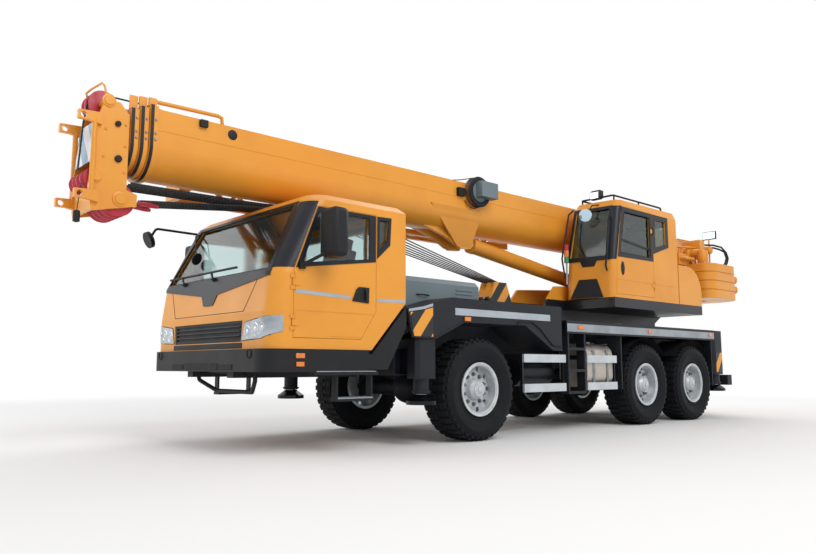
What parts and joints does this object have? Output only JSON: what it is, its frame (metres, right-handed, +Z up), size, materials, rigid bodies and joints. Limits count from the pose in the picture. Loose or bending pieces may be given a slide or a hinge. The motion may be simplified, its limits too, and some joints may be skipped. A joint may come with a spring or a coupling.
{
  "type": "mobile crane",
  "caption": "Truck-mounted mobile crane with a low driver's cab, outriggers, a slewing upper works with its own cab, and a telescopic boom with a stowed lattice jib.",
  "frame": {"origin": "on the ground, in the middle of the crane's box", "axes": "+X forward along the boom, +Y to the left, +Z up"},
  "size_m": [11.375, 3.06, 3.4198],
  "materials": {
    "body_paint": "gloss machine enamel, orange yellow",
    "chassis_paint": "semi-gloss dark chassis enamel",
    "hood_paint": "satin grey enamel",
    "red_paint": "gloss red enamel",
    "tyre_rubber": "matte black rubber",
    "wheel_paint": "silver wheel enamel",
    "dark_plastic": "moulded black plastic",
    "bare_alloy": "brushed alloy sheet",
    "steel": "ground steel",
    "chromed_rod": "hard chrome",
    "window_glass": "tinted safety glass",
    "lamp_glass": "clear lamp lens",
    "seat_cloth": "dark woven cloth"
  },
  "bodies": {
    "chassis": {"frame": "chassis_paint", "axles": "chassis_paint", "outrigger_boxes": "chassis_paint", "cab_shell": "body_paint", "cab_glass": "window_glass", "cab_interior": "seat_cloth", "bumper_and_steps": "dark_plastic", "grille": "dark_plastic", "lamps": "lamp_glass", "engine": "steel", "engine_hood": "hood_paint", "fenders_and_decks": "chassis_paint", "tanks": "bare_alloy", "side_guards": "bare_alloy", "hook_block": "body_paint"},
    "steer_knuckle_left": {"knuckle_left": "chassis_paint"},
    "steer_knuckle_right": {"knuckle_right": "chassis_paint"},
    "door_left": {"cab_door_left": "body_paint", "door_glass_left": "window_glass", "door_mirror_left": "dark_plastic"},
    "door_right": {"cab_door_right": "body_paint", "door_glass_right": "window_glass", "door_mirror_right": "dark_plastic"},
    "upper_works": {"turntable": "body_paint", "counterweight": "body_paint", "winches": "body_paint", "operator_cab": "body_paint", "operator_glass": "window_glass", "operator_seat": "seat_cloth", "operator_roof_rail": "dark_plastic"},
    "upper_cab_door": {"operator_door": "body_paint", "operator_door_glass": "window_glass"},
    "boom": {"boom_base": "body_paint", "jib": "body_paint"},
    "boom_part_2": {"boom_section_2": "body_paint"},
    "boom_part_3": {"boom_section_3": "body_paint"},
    "boom_part_4": {"boom_section_4": "body_paint", "boom_sheaves": "red_paint"},
    "luff_cylinder": {"luff_barrel": "body_paint"},
    "luff_piston": {"luff_rod": "chromed_rod"},
    "road_wheel_front_left": {"tyre_front_left": "tyre_rubber", "wheel_front_left": "wheel_paint"},
    "road_wheel_front_right": {"tyre_front_right": "tyre_rubber", "wheel_front_right": "wheel_paint"},
    "road_wheel_middle_left": {"tyre_middle_left": "tyre_rubber", "wheel_middle_left": "wheel_paint"},
    "road_wheel_middle_right": {"tyre_middle_right": "tyre_rubber", "wheel_middle_right": "wheel_paint"},
    "road_wheel_rear_left": {"tyre_rear_left": "tyre_rubber", "wheel_rear_left": "wheel_paint"},
    "road_wheel_rear_right": {"tyre_rear_right": "tyre_rubber", "wheel_rear_right": "wheel_paint"},
    "beam_front_left": {"outrigger_beam_front_left": "chassis_paint"},
    "jack_front_left": {"outrigger_jack_front_left": "chassis_paint"},
    "beam_front_right": {"outrigger_beam_front_right": "chassis_paint"},
    "jack_front_right": {"outrigger_jack_front_right": "chassis_paint"},
    "beam_rear_left": {"outrigger_beam_rear_left": "chassis_paint"},
    "jack_rear_left": {"outrigger_jack_rear_left": "chassis_paint"},
    "beam_rear_right": {"outrigger_beam_rear_right": "chassis_paint"},
    "jack_rear_right": {"outrigger_jack_rear_right": "chassis_paint"}
  },
  "joints": [
    {"name": "steer_left", "type": "hinge", "parent": "chassis", "child": "steer_knuckle_left", "pos_m": [1.5125, 0.915, 0.575], "axis": [0, 0, 1], "range_deg": [-32, 32]},
    {"name": "steer_right", "type": "hinge", "parent": "chassis", "child": "steer_knuckle_right", "pos_m": [1.5125, -0.915, 0.575], "axis": [0, 0, 1], "range_deg": [-32, 32]},
    {"name": "spin_front_left", "type": "hinge", "parent": "steer_knuckle_left", "child": "road_wheel_front_left", "pos_m": [1.5125, 1.035, 0.575], "axis": [0, 1, 0], "continuous": true},
    {"name": "spin_front_right", "type": "hinge", "parent": "steer_knuckle_right", "child": "road_wheel_front_right", "pos_m": [1.5125, -1.035, 0.575], "axis": [0, 1, 0], "continuous": true},
    {"name": "spin_middle_left", "type": "hinge", "parent": "chassis", "child": "road_wheel_middle_left", "pos_m": [-2.0375, 1.035, 0.575], "axis": [0, 1, 0], "continuous": true},
    {"name": "spin_middle_right", "type": "hinge", "parent": "chassis", "child": "road_wheel_middle_right", "pos_m": [-2.0375, -1.035, 0.575], "axis": [0, 1, 0], "continuous": true},
    {"name": "spin_rear_left", "type": "hinge", "parent": "chassis", "child": "road_wheel_rear_left", "pos_m": [-3.4225, 1.035, 0.575], "axis": [0, 1, 0], "continuous": true},
    {"name": "spin_rear_right", "type": "hinge", "parent": "chassis", "child": "road_wheel_rear_right", "pos_m": [-3.4225, -1.035, 0.575], "axis": [0, 1, 0], "continuous": true},
    {"name": "door_left_swing", "type": "hinge", "parent": "chassis", "child": "door_left", "pos_m": [4.0325, 1.24, 1.7], "axis": [0, 0, -1], "range_deg": [0, 68]},
    {"name": "door_right_swing", "type": "hinge", "parent": "chassis", "child": "door_right", "pos_m": [4.0325, -1.24, 1.7], "axis": [0, 0, 1], "range_deg": [0, 68]},
    {"name": "slew", "type": "hinge", "parent": "chassis", "child": "upper_works", "pos_m": [-2.2375, 0, 1.4], "axis": [0, 0, 1], "continuous": true},
    {"name": "upper_cab_door_swing", "type": "hinge", "parent": "upper_works", "child": "upper_cab_door", "pos_m": [-2.3675, 1.22, 2.5], "axis": [0, 0, 1], "range_deg": [0, 85]},
    {"name": "luff", "type": "hinge", "parent": "upper_works", "child": "boom", "pos_m": [-4.0375, 0, 2.83], "axis": [0, -1, 0], "range_deg": [0, 80]},
    {"name": "luff_cylinder_swing", "type": "hinge", "parent": "upper_works", "child": "luff_cylinder", "pos_m": [-2.9675, 0, 2.03], "axis": [0, -1, 0], "range_deg": [0, 82.2]},
    {"name": "luff_piston_stroke", "type": "slide", "parent": "luff_cylinder", "child": "luff_piston", "axis": [0.9903, 0, 0.1393], "range_m": [0, 1.718]},
    {"name": "telescope_2", "type": "slide", "parent": "boom", "child": "boom_part_2", "axis": [1, 0, 0], "range_m": [0, 7.2]},
    {"name": "telescope_3", "type": "slide", "parent": "boom_part_2", "child": "boom_part_3", "axis": [1, 0, 0], "range_m": [0, 7.2]},
    {"name": "telescope_4", "type": "slide", "parent": "boom_part_3", "child": "boom_part_4", "axis": [1, 0, 0], "range_m": [0, 7.2]},
    {"name": "beam_front_left_slide", "type": "slide", "parent": "chassis", "child": "beam_front_left", "axis": [0, 1, 0], "range_m": [0, 1.6]},
    {"name": "jack_front_left_drop", "type": "slide", "parent": "beam_front_left", "child": "jack_front_left", "axis": [0, 0, -1], "range_m": [0, 0.48]},
    {"name": "beam_front_right_slide", "type": "slide", "parent": "chassis", "child": "beam_front_right", "axis": [0, -1, 0], "range_m": [0, 1.6]},
    {"name": "jack_front_right_drop", "type": "slide", "parent": "beam_front_right", "child": "jack_front_right", "axis": [0, 0, -1], "range_m": [0, 0.48]},
    {"name": "beam_rear_left_slide", "type": "slide", "parent": "chassis", "child": "beam_rear_left", "axis": [0, 1, 0], "range_m": [0, 1.6]},
    {"name": "jack_rear_left_drop", "type": "slide", "parent": "beam_rear_left", "child": "jack_rear_left", "axis": [0, 0, -1], "range_m": [0, 0.48]},
    {"name": "beam_rear_right_slide", "type": "slide", "parent": "chassis", "child": "beam_rear_right", "axis": [0, -1, 0], "range_m": [0, 1.6]},
    {"name": "jack_rear_right_drop", "type": "slide", "parent": "beam_rear_right", "child": "jack_rear_right", "axis": [0, 0, -1], "range_m": [0, 0.48]}
  ],
  "couplings": [
    {"joint": "steer_right", "follows": "steer_left", "ratio": 1},
    {"joint": "luff_cylinder_swing", "follows": "luff", "ratio": 1.0212},
    {"joint": "luff_piston_stroke", "follows": "luff", "m_per_rad": 1.2267},
    {"joint": "telescope_4", "follows": "telescope_3", "ratio": 1}
  ]
}
